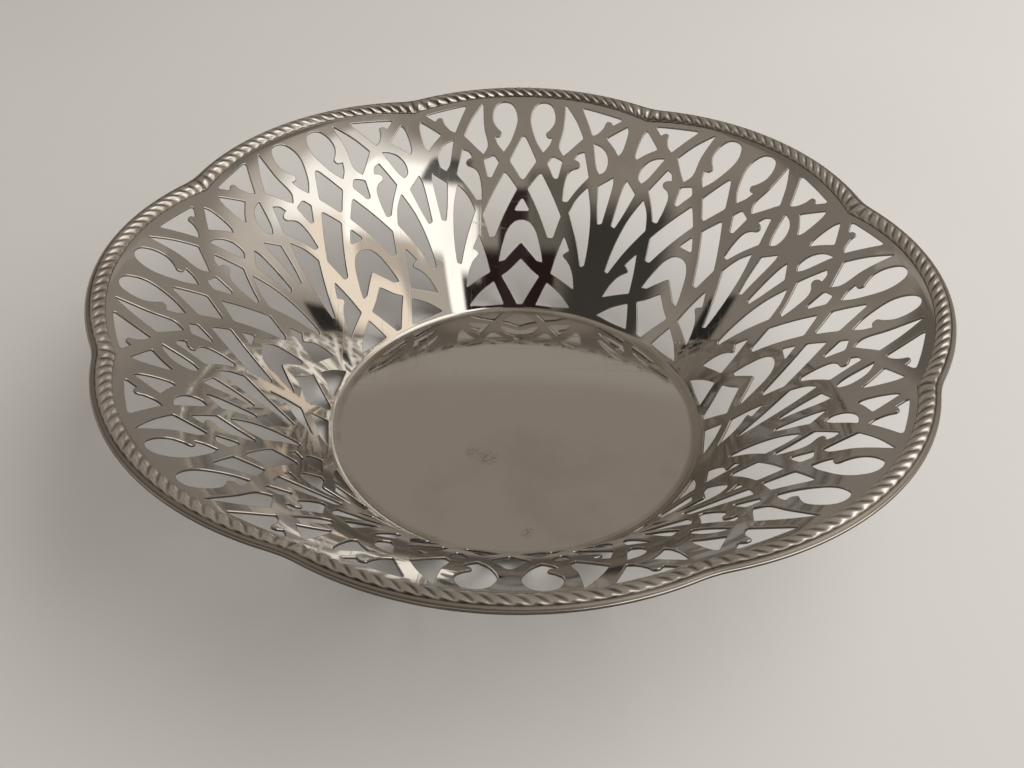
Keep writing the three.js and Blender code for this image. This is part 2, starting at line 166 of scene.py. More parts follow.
@dataclass
class SheetProfile:
    """Profile of the sheet's upper face: floor, bend, plain foot, flared wall and flange.

    The flange is drawn on past the rim, for some widths of its own, and the rim's outline ends it.
    """

    overall_diameter: float = 241.0
    thickness: float = 0.8
    floor_radius: float = 56.8
    bend_radius: float = 3.0
    plain_foot_width: float = 2.8
    wall_height: float = 56.1
    wall_foot_slope: float = math.radians(55.2)
    wall_top_slope: float = math.radians(30.3)
    flange_slope: float = math.radians(14.0)
    flange_width: float = 6.9
    flange_bend_reach: float = 1.65
    foot_pull_share: float = 0.468
    top_pull_share: float = 0.281
    pattern_start: float = 3.86
    floor_rise: float = 0.45
    flange_run_widths: float = 2.0
    curve_steps: int = 400

    def __post_init__(self) -> None:
        """Works out the points of the profile and its length up to each."""
        bend_end = self._bend(np.array([1.0]))[0]
        foot = bend_end + self._along(self.wall_foot_slope, self.plain_foot_width)
        top = np.array([self.overall_diameter / 2 - self.flange_width, self.wall_height])
        reach = float(np.linalg.norm(top - foot))
        shares = np.linspace(0.0, 1.0, self.curve_steps + 1)
        handles = [
            foot,
            foot + self._along(self.wall_foot_slope, self.foot_pull_share * reach),
            top - self._along(self.wall_top_slope, self.top_pull_share * reach),
            top,
        ]
        corner = top + self._along(self.wall_top_slope, self.flange_bend_reach)
        flange_start = corner + self._along(self.flange_slope, self.flange_bend_reach)
        flange_run = self.flange_run_widths * self.flange_width
        flange_end = flange_start + self._along(self.flange_slope, flange_run)
        parts = [
            np.column_stack([self.floor_radius * shares, self.floor_rise * (1 - shares**2)]),
            self._bend(shares)[1:],
            self._bezier(handles, shares),
            self._bezier([top, corner, flange_start], shares)[1:],
            flange_end[None, :],
        ]
        ends = np.cumsum([len(part) for part in parts]) - 1
        points = np.vstack(parts)
        steps = np.linalg.norm(np.diff(points, axis=0), axis=1)
        lengths = np.concatenate([[0.0], np.cumsum(steps)])
        lengths -= lengths[ends[0]]
        slopes = np.arctan2(*np.diff(points, axis=0).T[::-1])
        self.radii = points[:, 0]
        self.heights = points[:, 1]
        self.lengths = lengths
        middles = (lengths[1:] + lengths[:-1]) / 2
        self.slope_lengths = np.concatenate([lengths[:1], middles, lengths[-1:]])
        self.slopes = np.concatenate([[slopes[0]], slopes, [slopes[-1]]])
        self.axis_length = float(lengths[0])
        self.bend_length = float(lengths[ends[1]])
        self.wall_length = float(lengths[ends[2]])
        self.flange_length = float(lengths[ends[3]])
        self.pattern_length = self.wall_length - self.pattern_start

    @staticmethod
    def _along(slope: float, length: float) -> np.ndarray:
        """Returns the step of a given length at a slope."""
        return length * np.array([math.cos(slope), math.sin(slope)])

    def _bend(self, shares: np.ndarray) -> np.ndarray:
        """Returns points on the bend above the floor at shares of its turn."""
        turns = shares * self.wall_foot_slope
        radii = self.floor_radius + self.bend_radius * np.sin(turns)
        return np.column_stack([radii, self.bend_radius * (1 - np.cos(turns))])

    @staticmethod
    def _bezier(handles: Sequence[np.ndarray], shares: np.ndarray) -> np.ndarray:
        """Returns points at shares of a curve through two ends, drawn by its handles."""
        order = len(handles) - 1
        weights = [
            math.comb(order, k) * shares**k * (1 - shares) ** (order - k)
            for k in range(order + 1)
        ]
        return sum(np.outer(weight, handle) for weight, handle in zip(weights, handles))

    def radius_at(self, length: np.ndarray) -> np.ndarray:
        """Returns the radius of the upper face at lengths along the profile."""
        return np.interp(length, self.lengths, self.radii)

    def length_at_radius(self, radius: np.ndarray) -> np.ndarray:
        """Returns the length along the profile at which it reaches a radius."""
        return np.interp(radius, self.radii, self.lengths)

    def place(self, angle: np.ndarray, length: np.ndarray, depth: np.ndarray) -> np.ndarray:
        """Puts points of the sheet in space.

        Args:
            angle: Angles round the axis.
            length: Lengths along the profile.
            depth: Depths below the upper face.

        Returns:
            One row to a point, in millimetres.
        """
        slope = np.interp(length, self.slope_lengths, self.slopes)
        radius = self.radius_at(length) + np.sin(slope) * depth
        height = self.thickness + np.interp(length, self.lengths, self.heights)
        height = height - np.cos(slope) * depth
        return np.column_stack([radius * np.cos(angle), radius * np.sin(angle), height])

    def upward(self, angle: np.ndarray, length: np.ndarray) -> np.ndarray:
        """Returns the normals of the upper face at angles and lengths."""
        slope = np.interp(length, self.slope_lengths, self.slopes)
        inward = -np.sin(slope)
        return np.column_stack([inward * np.cos(angle), inward * np.sin(angle), np.cos(slope)])


@dataclass
class LobedRim:
    """Outline of the rim from above: arcs round the axis, with a soft valley at each notch."""

    profile: SheetProfile
    lobe_count: int = 8
    turn: float = math.radians(-1.3)
    centre_radius: float = 38.0
    valley_radius: float = 30.0
    rope_width: float = 3.9
    strip_ledge: float = 0.7
    lip_width: float = 0.4

    def __post_init__(self) -> None:
        """Works out the angles and radii that follow from the sizes."""
        profile = self.profile
        self.lobe_angle = 2 * math.pi / self.lobe_count
        self.half_angle = self.lobe_angle / 2
        self.border_width = self.rope_width + self.strip_ledge
        edge = profile.thickness * math.sin(profile.flange_slope)
        self.arc_radius = profile.overall_diameter / 2 - edge - self.centre_radius
        self.border_inner_arc_radius = self.arc_radius - self.lip_width - self.border_width

    def lobe_radius(self, from_middle: np.ndarray, arc_radius: float) -> np.ndarray:
        """Returns the radius of a lobe's arc at angles from the lobe's middle."""
        across = self.centre_radius * np.sin(from_middle)
        return self.centre_radius * np.cos(from_middle) + np.sqrt(arc_radius**2 - across**2)

    def rim_radius(self, from_middle: np.ndarray, inset: float) -> np.ndarray:
        """Radius of a line that follows the rim inside it.

        Args:
            from_middle: Angles from the lobe's middle.
            inset: Distance inside the rim.

        Returns:
            Radius at each angle.
        """
        arc_radius = self.arc_radius - inset
        valley = self.valley_radius + inset
        reach = self.centre_radius * math.sin(self.half_angle)
        lobe_x = self.centre_radius * math.cos(self.half_angle)
        distance = lobe_x + math.sqrt((arc_radius + valley) ** 2 - reach**2)
        share = arc_radius / (arc_radius + valley)
        touch = math.atan2(reach * (1 - share), lobe_x + (distance - lobe_x) * share)
        from_notch = self.half_angle - np.abs(from_middle)
        across = np.minimum(distance * np.sin(np.minimum(from_notch, touch)), valley)
        in_valley = distance * np.cos(from_notch) - np.sqrt(valley**2 - across**2)
        return np.where(from_notch > touch, self.lobe_radius(from_middle, arc_radius), in_valley)

    def rim_length(self, angle: np.ndarray, inset: float) -> np.ndarray:
        """Length along the profile of the rim, or of a line inside it.

        Args:
            angle: Angles round the axis.
            inset: Distance inside the rim.

        Returns:
            Length at each angle.
        """
        turned = angle - self.turn
        from_middle = turned - self.lobe_angle * np.round(turned / self.lobe_angle)
        return self.profile.length_at_radius(self.rim_radius(from_middle, inset))

    def lattice_top(self, angle: np.ndarray) -> np.ndarray:
        """Returns the length at which the lattice ends and the plain band begins."""
        return self.rim_length(angle, self.lip_width + self.border_width)


@dataclass
class Piercing:
    """Holes of one panel.

    A point is (share of the half panel's angle, share of the wall's length, rounding). The rounding
    is the radius of its corner in millimetres, and a point without one is run through smoothly.
    """

    rim: LobedRim
    margin: float = 0.5
    corner_steps: int = 5
    smooth_steps: int = 5
    corner_limit_share: float = 0.42
    cut_back_share: float = 0.25
    sharpest_half_angle: float = 0.2
    least_knot: float = 1e-9
    middle: dict[str, list[ShareRow]] = field(default_factory=lambda: {
        "diamond": [
            (0, .820, .9), (.131, .681, .9), (0, .582, .9),
        ],
        "small_triangle": [
            (0, .504, .6), (.087, .440, .6),
        ],
        "arch": [
            (0, .396), (.089, .386), (.167, .348), (.231, .282), (.271, .231), (.289, .201, .6),
            (.218, .206, .8), (0, .291, .7),
        ],
        "foot_diamond": [
            (0, .212, .7), (.156, .158), (.264, .132, .6), (.040, -.002, .6),
        ],
    })
    sides: dict[str, list[ShareRow]] = field(default_factory=lambda: {
        "teardrop": [
            (.160, .992), (.109, .980), (.071, .940), (.061, .893), (.082, .839), (.131, .773),
            (.191, .728, .7), (.240, .764), (.264, .802, .5), (.220, .805), (.202, .825),
            (.236, .848), (.269, .885), (.264, .936), (.220, .982),
        ],
        "blade": [
            (.349, .988, .8), (.462, .901), (.549, .817, .6), (.449, .752), (.389, .719, .8),
            (.343, .759), (.360, .854),
        ],
        "rim_triangle": [
            (.487, .980, .7), (.858, .945, .7), (.784, .907, .5), (.753, .923), (.720, .920),
            (.707, .889), (.671, .854), (.629, .838, .6),
        ],
        "trunk_triangle": [
            (.911, .912, .6), (.931, .885), (.931, .777), (.909, .759, .6), (.860, .787),
            (.760, .833, .6),
        ],
        "kite": [
            (.287, .711, .9), (.389, .690, .8), (.364, .605, .7), (.327, .602, .7),
            (.244, .674, .8),
        ],
        "leaf": [
            (.584, .748, .6), (.624, .696), (.678, .628, .6), (.573, .555), (.502, .497, .8),
            (.451, .497, .8), (.444, .564), (.462, .628), (.502, .652), (.558, .666),
            (.571, .682), (.551, .697), (.504, .706, .5), (.531, .734),
        ],
        "half_lens": [
            (.656, .798, .6), (.729, .786), (.789, .761), (.831, .715), (.824, .671),
            (.780, .652, .8), (.738, .679),
        ],
        "lozenge": [
            (.184, .628, .9), (.324, .522), (.451, .425, .8), (.391, .319, .7),
            (.333, .318, .7), (.200, .431), (.058, .545, .8),
        ],
        "long_sliver": [
            (.693, .580, .7), (.773, .475), (.818, .382), (.847, .282), (.853, .214, .5),
            (.809, .204, .5), (.689, .320), (.540, .448, .7), (.604, .522),
        ],
        "spike": [
            (.927, .647, .5), (.944, .615), (.942, .424, .5), (.898, .416, .5), (.853, .481),
            (.800, .593, .6), (.880, .626),
        ],
        "hooked_hole": [
            (.529, .334, .7), (.620, .270, .5), (.549, .244), (.618, .218), (.667, .197),
            (.729, .154), (.780, .094, .5), (.422, .153, .6), (.469, .243),
        ],
        "foot_triangle": [
            (.380, .107, .6), (.587, .062), (.778, .006, .4), (.511, -.004), (.249, -.003, .4),
        ],
    })

    def _chart(self, points: Sequence[ShareRow], side: int) -> list[OutlinePoint]:
        """Turns an outline's shares into angle and length, clear of the bend and the band.

        Args:
            points: Shares of the points.
            side: 1 for the right of the middle line and -1 for its left.

        Returns:
            Place and corner radius of each point.
        """
        profile = self.rim.profile
        placed = []
        for angle_share, length_share, *rounding in points:
            angle = side * angle_share * self.rim.half_angle
            highest = float(self.rim.lattice_top(np.array(angle))) - self.margin
            length = profile.pattern_start + length_share * profile.pattern_length
            length = min(max(length, profile.bend_length + self.margin), highest)
            placed.append((np.array([angle, length]), rounding[0] if rounding else 0.0))
        return placed

    def _true(self, place: np.ndarray) -> np.ndarray:
        """Returns the millimetres that a radian and a millimetre of the chart stand for."""
        return np.array([float(self.rim.profile.radius_at(place[1])), 1.0])

    def _smooth(self, run: list[np.ndarray]) -> list[np.ndarray]:
        """Draws a smooth line through the points of a run between two corners.

        Args:
            run: Places, both corners among them.

        Returns:
            Points of the smooth line, both ends among them.
        """
        if len(run) < 3:
            return run
        scale = self._true(np.mean(run, axis=0))
        points = [place * scale for place in run]
        first = 2 * points[0] - points[1]
        last = 2 * points[-1] - points[-2]
        padded = [first, *points, last]
        line: list[np.ndarray] = []
        for i in range(1, len(padded) - 2):
            before, start, end, after = padded[i - 1:i + 3]
            spans = [
                math.sqrt(float(np.linalg.norm(b - a))) + self.least_knot
                for a, b in ((before, start), (start, end), (end, after))
            ]
            knots = np.cumsum([0.0, *spans])
            for step in range(self.smooth_steps):
                t = knots[1] + (knots[2] - knots[1]) * step / self.smooth_steps
                line.append(self._between(padded[i - 1:i + 3], knots, t))
        return [point / scale for point in [*line, points[-1]]]

    @staticmethod
    def _between(points: Sequence[np.ndarray], knots: np.ndarray, t: float) -> np.ndarray:
        """Point of a smooth curve through the two middle ones of four points.

        Args:
            points: Four points.
            knots: Value of the curve's parameter at each.
            t: Value at which the point is wanted.

        Returns:
            The point.
        """
        level = list(points)
        spans = [(0, 1), (1, 2), (2, 3)]
        for width in (1, 2):
            level = [
                (level[i] * (knots[b] - t) + level[i + 1] * (t - knots[a])) / (knots[b] - knots[a])
                for i, (a, b) in enumerate(spans)
            ]
            spans = [(i, i + width + 1) for i in range(len(level) - 1)]
        return (level[0] * (knots[2] - t) + level[1] * (t - knots[1])) / (knots[2] - knots[1])

    def _rounded(self, line: list[np.ndarray], corners: dict[int, float]) -> np.ndarray:
        """Rounds the corners of a closed line.

        Args:
            line: Points of the line.
            corners: Radius of the corner at each point that is one.

        Returns:
            Points of the rounded outline.
        """
        outline: list[np.ndarray] = []
        count = len(line)
        for index, place in enumerate(line):
            if index not in corners:
                outline.append(place)
                continue
            scale = self._true(place)
            before = (line[index - 1] - place) * scale
            after = (line[(index + 1) % count] - place) * scale
            lengths = [float(np.linalg.norm(v)) for v in (before, after)]
            cosine = float(np.dot(before, after)) / (lengths[0] * lengths[1])
            half = math.acos(max(-1.0, min(1.0, cosine))) / 2
            radius = corners[index]
            reach = radius / math.tan(max(half, self.sharpest_half_angle))
            reach += self.cut_back_share * radius
            cuts = [min(reach, self.corner_limit_share * length) for length in lengths]
            start = before / lengths[0] * cuts[0]
            end = after / lengths[1] * cuts[1]
            for step in range(self.corner_steps + 1):
                t = step / self.corner_steps
                pulled = (1 - t) ** 2 * start + t**2 * end
                outline.append(place + pulled / scale)
        return np.array(outline)

    def outline(self, points: Sequence[OutlinePoint]) -> np.ndarray:
        """Fine outline of one hole: smooth runs between its corners, and the corners rounded.

        Args:
            points: Places and corner radii of the hole's points.

        Returns:
            Closed outline, one row of angle and length to a point.
        """
        marks = [i for i, (_, radius) in enumerate(points) if radius > 0]
        count = len(points)
        order = [points[(marks[0] + i) % count] for i in range(count + 1)]
        line: list[np.ndarray] = []
        corners: dict[int, float] = {}
        run = [order[0][0]]
        corners[0] = order[0][1]
        for place, radius in order[1:]:
            run.append(place)
            if radius > 0:
                line.extend(self._smooth(run)[:-1])
                corners[len(line)] = radius
                run = [place]
        corners.pop(len(line))
        return self._rounded(line, corners)

    def outlines(self) -> list[np.ndarray]:
        """Returns the fine outlines of all the holes of a panel."""
        found = []
        for points in self.middle.values():
            right = self._chart(points, 1)
            left = [p for p, shares in zip(self._chart(points, -1), points) if shares[0] > 0]
            found.append(self.outline([*right, *left[::-1]]))
        for points in self.sides.values():
            for side in (1, -1):
                found.append(self.outline(self._chart(points, side)))
        return found


@dataclass
class PiercedSheet:
    """The dish body: one sheet with its floor, pierced wall, flange and rounded cut edges."""

    rim: LobedRim
    piercing: Piercing
    name: str = "pierced_sheet"
    chart_radius: float = 86.0
    edge_rounding: float = 0.25
    rounding_steps: int = 2
    column_count: int = 14
    bend_rings: int = 7
    ring_step: float = 2.8
    floor_step: float = 7.0
    floor_edge_inset: float = 0.3
    floor_ring_clearance: float = 1.0
    flange_bend_rings: int = 5
    rim_points: int = 72
    merge_distance: float = 0.002
    rounding_slack: float = 1.001
    face_tolerance: float = 1e-3

    def build(self) -> bpy.types.Object:
        """Makes the whole sheet.

        Returns:
            The finished object.
        """
        panel = self._flat_panel()
        self._open_sides(panel)
        self._cut_grid(panel)
        self._wrap(panel)
        panels = Bench.ring(panel, self.rim.lobe_count)
        sheet = Bench.join(panels, self.merge_distance * MM)
        self._smooth(sheet)
        return sheet

    def _border_line(self) -> np.ndarray:
        """Returns the outline of a flat panel: its floor line, sides and the rim."""
        half = self.rim.half_angle
        angles = np.linspace(half, -half, self.rim_points + 1)
        top = np.column_stack([angles, self.rim.rim_length(angles, 0.0)])
        low = self.rim.profile.axis_length
        return np.vstack([[[-half, low], [half, low]], top])

    def _flat_panel(self) -> bpy.types.Object:
        """Fills the flat outline of a panel around its holes, with thickness and rounded edges.

        Returns:
            Mesh object in the flat chart, in millimetres.
        """
        data = bpy.data.curves.new(self.name, "CURVE")
        data.dimensions = "2D"
        data.fill_mode = "BOTH"
        data.extrude = self.rim.profile.thickness / 2 - self.edge_rounding
        data.bevel_depth = self.edge_rounding
        data.bevel_resolution = self.rounding_steps
        data.offset = -self.edge_rounding
        for outline in [self._border_line(), *self.piercing.outlines()]:
            spline = data.splines.new("POLY")
            spline.points.add(len(outline) - 1)
            flat = np.column_stack([outline[:, 0] * self.chart_radius, outline[:, 1]])
            points = np.column_stack([flat, np.zeros(len(flat)), np.ones(len(flat))])
            spline.points.foreach_set("co", points.ravel())
            spline.use_cyclic_u = True
        panel = bpy.data.objects.new(self.name, data)
        bpy.context.scene.collection.objects.link(panel)
        Bench.only(panel)
        bpy.ops.object.convert(target="MESH")
        Bench.edit()
        bpy.ops.mesh.remove_doubles(threshold=self.merge_distance)
        Bench.leave()
        return panel

    def _open_sides(self, panel: bpy.types.Object) -> None:
        """Opens the rounded edges where panels meet and at the middle of the floor."""
        places = Bench.places(panel)
        side = self.rim.half_angle * self.chart_radius
        low = self.rim.profile.axis_length
        limit = self.edge_rounding * self.rounding_slack
        on_side = np.abs(places[:, 0]) > side - limit
        on_low = places[:, 1] < low + limit
        Bench.edit("DESELECT")
        Bench.leave()
        for face in panel.data.polygons:
            marks = list(face.vertices)
            face.select = bool(np.all(on_side[marks]) or np.all(on_low[marks]))
        bpy.ops.object.mode_set(mode="EDIT")
        bpy.ops.mesh.select_mode(type="FACE")
        bpy.ops.mesh.delete(type="FACE")
        bpy.ops.mesh.select_mode(type="VERT")
        Bench.leave()
        places = Bench.places(panel)
        right = places[:, 0] > side - limit
        left = places[:, 0] < limit - side
        places[right, 0] = side
        places[left, 0] = -side
        places[places[:, 1] < low + limit, 1] = low
        Bench.set_places(panel, places)

    def _ring_lengths(self) -> np.ndarray:
        """Returns the lengths along the profile at which the flat panel is cut to bend."""
        profile = self.rim.profile
        first = profile.axis_length + self.floor_step
        floor = np.arange(first, -self.floor_ring_clearance, self.floor_step)
        floor = np.append(floor, -self.floor_edge_inset)
        bend = np.linspace(0.0, profile.bend_length, self.bend_rings)
        wall_steps = round((profile.wall_length - profile.bend_length) / self.ring_step)
        wall = np.linspace(profile.bend_length, profile.wall_length, wall_steps + 1)[1:]
        flange = np.linspace(profile.wall_length, profile.flange_length, self.flange_bend_rings)[1:]
        return np.concatenate([floor, bend, wall, flange])

    def _cut_grid(self, panel: bpy.types.Object) -> None:
        """Cuts the flat panel along rings and columns so that it can bend."""
        Bench.edit()
        for length in self._ring_lengths():
            Bench.cut((0.0, float(length), 0.0), (0.0, 1.0, 0.0))
        side = self.rim.half_angle * self.chart_radius
        for place in np.linspace(-side, side, self.column_count + 1)[1:-1]:
            Bench.cut((float(place), 0.0, 0.0), (1.0, 0.0, 0.0))
        Bench.leave()

    def _wrap(self, panel: bpy.types.Object) -> None:
        """Lays the flat panel on the dish's form and keeps each point's place on the flat sheet."""
        places = Bench.places(panel)
        angle = places[:, 0] / self.chart_radius
        length = places[:, 1]
        depth = self.rim.profile.thickness / 2 - places[:, 2]
        Bench.set_places(panel, self.rim.profile.place(angle, length, depth) * MM)
        Bench.edit()
        bpy.ops.mesh.flip_normals()
        Bench.leave()
        for name, column in (("sheet_length", length), ("sheet_depth", depth)):
            attribute = panel.data.attributes.new(name, "FLOAT", "POINT")
            attribute.data.foreach_set("value", column.astype(np.float32))

    def _smooth(self, sheet: bpy.types.Object) -> None:
        """Gives both faces the exact normals of the dish's form and shades the rounded cut edges
        smoothly.
        """
        mesh = sheet.data
        count = len(mesh.vertices)
        columns = []
        for name in ("sheet_length", "sheet_depth"):
            column = np.empty(count, np.float32)
            mesh.attributes[name].data.foreach_get("value", column)
            columns.append(column)
        length, depth = columns
        places = Bench.places(sheet)
        mesh.polygons.foreach_set("use_smooth", [True] * len(mesh.polygons))
        normals = np.empty(count * 3, np.float32)
        mesh.vertex_normals.foreach_get("vector", normals)
        normals = normals.reshape(-1, 3).copy()
        upward = self.rim.profile.upward(np.arctan2(places[:, 1], places[:, 0]), length)
        upper = depth < self.face_tolerance
        under = depth > self.rim.profile.thickness - self.face_tolerance
        normals[upper] = upward[upper]
        normals[under] = -upward[under]
        mesh.normals_split_custom_set_from_vertices(normals.tolist())


@dataclass
class RopeBorder:
    """Eight lengths of stamped border: a strip that carries a low rope with leaning flutes.

    The strip's ledge slopes down outside the rope through points of (distance inside the strip's
    outer side, height above the sheet).
    """

    rim: LobedRim
    name: str = "rope_length"
    rope_height: float = 1.1
    strip_thickness: float = 0.35
    ledge_slope: tuple[tuple[float, float], ...] = (
        (0.6, 0.33), (0.35, 0.22), (0.12, 0.06), (0.0, -0.1),
    )
    inner_foot: float = -0.1
    solder_gap: float = 0.3
    solder_depth: float = 0.35
    mitre_gap: float = 0.1
    flute_depth: float = 0.62
    flute_lean: float = 4.8
    flutes_per_lobe: int = 25
    lean_flutes: int = 3
    fluting_power: float = 0.5
    wave_share: float = 0.6
    narrowing_share: float = 0.5
    steps_per_flute: int = 12
    rope_steps: int = 16
    crease_angle: float = math.radians(60)
    merge_distance: float = 1e-4

    def build(self) -> list[bpy.types.Object]:
        """Makes all the lengths.

        Returns:
            The finished objects in anticlockwise order.
        """
        length = self._length()
        return Bench.ring(length, self.rim.lobe_count)

    def _section(self) -> np.ndarray:
        """Draws the section of the border.

        Returns:
            Closed section, one row of distance across, height and share of fluting to a point.
        """
        half = self.rim.rope_width / 2
        turns = np.linspace(math.pi, 0.0, self.rope_steps + 1)
        across = half + half * np.cos(turns)
        height = self._foot(across) + self.rope_height * np.sin(turns)
        rope = np.column_stack([across, height, np.sin(turns) ** self.fluting_power])
        width = self.rim.border_width
        ledge = [[width - inward, up, 0.0] for inward, up in self.ledge_slope]
        under = [[place, -self.solder_depth, 0.0] for place in (width, width / 2, 0.0)]
        return np.vstack([rope, ledge, under])

    def _foot(self, across: np.ndarray) -> np.ndarray:
        """Returns the height of the rope's foot, which is down on the sheet at its inner side."""
        middle = self.rim.rope_width / 2
        return np.interp(across, [0.0, middle], [self.inner_foot, self.strip_thickness])

    def _groove(self, phase: np.ndarray) -> np.ndarray:
        """Returns how deep the rope is cut at shares of the way from one groove to the next."""
        wave = (1 + np.cos(2 * math.pi * phase)) / 2
        cusp = 1 - np.abs(np.sin(math.pi * phase))
        return self.wave_share * wave + (1 - self.wave_share) * cusp

    def _place(self, from_middle: np.ndarray, across: np.ndarray, height: np.ndarray) -> np.ndarray:
        """Puts points of the border in space, in the plane through the axis at each angle.

        Args:
            from_middle: Angles from the lobe's middle.
            across: Distances from the border's inner side.
            height: Heights above the border's underside.

        Returns:
            Radius and height of each point.
        """
        rim = self.rim
        profile = rim.profile
        inner_radius = rim.lobe_radius(from_middle, rim.border_inner_arc_radius)
        inner_length = profile.length_at_radius(inner_radius)
        outer_length = profile.length_at_radius(rim.rim_radius(from_middle, rim.lip_width))
        lift = np.full_like(from_middle, -self.solder_gap)
        zero = np.zeros_like(from_middle)
        inner = profile.place(zero, inner_length, lift)[:, [0, 2]]
        run = profile.place(zero, outer_length, lift)[:, [0, 2]] - inner
        up = np.column_stack([-run[:, 1], run[:, 0]]) / np.linalg.norm(run, axis=1)[:, None]
        return inner + run * (across / rim.border_width)[:, None] + up * height[:, None]

    def _length(self) -> bpy.types.Object:
        """Makes one length of border over the first lobe.

        Returns:
            Mesh object in metres.
        """
        rim = self.rim
        section = self._section()
        rows = len(section)
        stations = self.flutes_per_lobe * self.steps_per_flute
        bpy.ops.object.select_all(action="DESELECT")
        bpy.ops.mesh.primitive_grid_add(x_subdivisions=stations, y_subdivisions=rows, size=2.0)
        piece = bpy.context.view_layer.objects.active
        piece.name = piece.data.name = self.name
        flat = (Bench.places(piece) + 1) / 2
        share = flat[:, 0]
        across, height, fluted = section[np.rint(flat[:, 1] * rows).astype(int) % rows].T
        angle = self._angle(share, across)
        cut = self._groove(share * self.flutes_per_lobe) * self.flute_depth * fluted
        half = rim.rope_width / 2
        narrowed = half + (across - half) * (1 - self.narrowing_share * cut / half)
        foot = self._foot(across)
        lowered = foot + (height - foot) * (1 - cut / self.rope_height)
        across = np.where(fluted > 0, narrowed, across)
        placed = self._place(angle, across, np.where(fluted > 0, lowered, height))
        turned = angle + rim.turn
        spread = [placed[:, 0] * np.cos(turned), placed[:, 0] * np.sin(turned), placed[:, 1]]
        Bench.set_places(piece, np.column_stack(spread) * MM)
        for name, column in (("groove", cut / self.flute_depth), ("across", across)):
            attribute = piece.data.attributes.new(name, "FLOAT", "POINT")
            attribute.data.foreach_set("value", column.astype(np.float32))
        self._close(piece)
        return piece

    def _angle(self, share: np.ndarray, across: np.ndarray) -> np.ndarray:
        """Works out how far round the lobe each point of a length lies, with the flutes' lean.

        Args:
            share: Shares of the way along the length.
            across: Distances from the border's inner side.

        Returns:
            Angle of each point from the lobe's middle.
        """
        rim = self.rim
        cusp_radius = float(rim.lobe_radius(np.array(rim.half_angle), rim.border_inner_arc_radius))
        end_angle = rim.half_angle - math.asin(self.mitre_gap / 2 / cusp_radius)
        reach = self.lean_flutes / self.flutes_per_lobe
        middle_radius = float(rim.lobe_radius(np.array(0.0), rim.border_inner_arc_radius))
        lean = self.flute_lean / middle_radius
        lean_here = lean * np.minimum(1.0, np.minimum(share, 1 - share) / reach)
        return end_angle * (2 * share - 1) + lean_here * (across / rim.border_width - 0.5)

    def _close(self, piece: bpy.types.Object) -> None:
        """Closes the section's seam and the two ends, and smooths all but the creases."""
        Bench.edit()
        bpy.ops.mesh.remove_doubles(threshold=self.merge_distance * MM)
        bpy.ops.mesh.select_all(action="DESELECT")
        bpy.ops.mesh.select_non_manifold()
        bpy.ops.mesh.edge_face_add()
        bpy.ops.mesh.select_all(action="SELECT")
        bpy.ops.mesh.normals_make_consistent(inside=False)
        Bench.leave()
        Bench.only(piece)
        bpy.ops.object.shade_smooth_by_angle(angle=self.crease_angle)


@dataclass(frozen=True)
class Fade:
    """Two values of a measure and what each gives, with a smooth change between them."""

    low: float
    high: float
    start: float = 0.0
    end: float = 1.0


@dataclass(frozen=True)
class Grain:
    """Scale, detail and roughness of a cloud-like variation."""

    scale: float
    detail: float = 3.0
    rough: float = 0.5


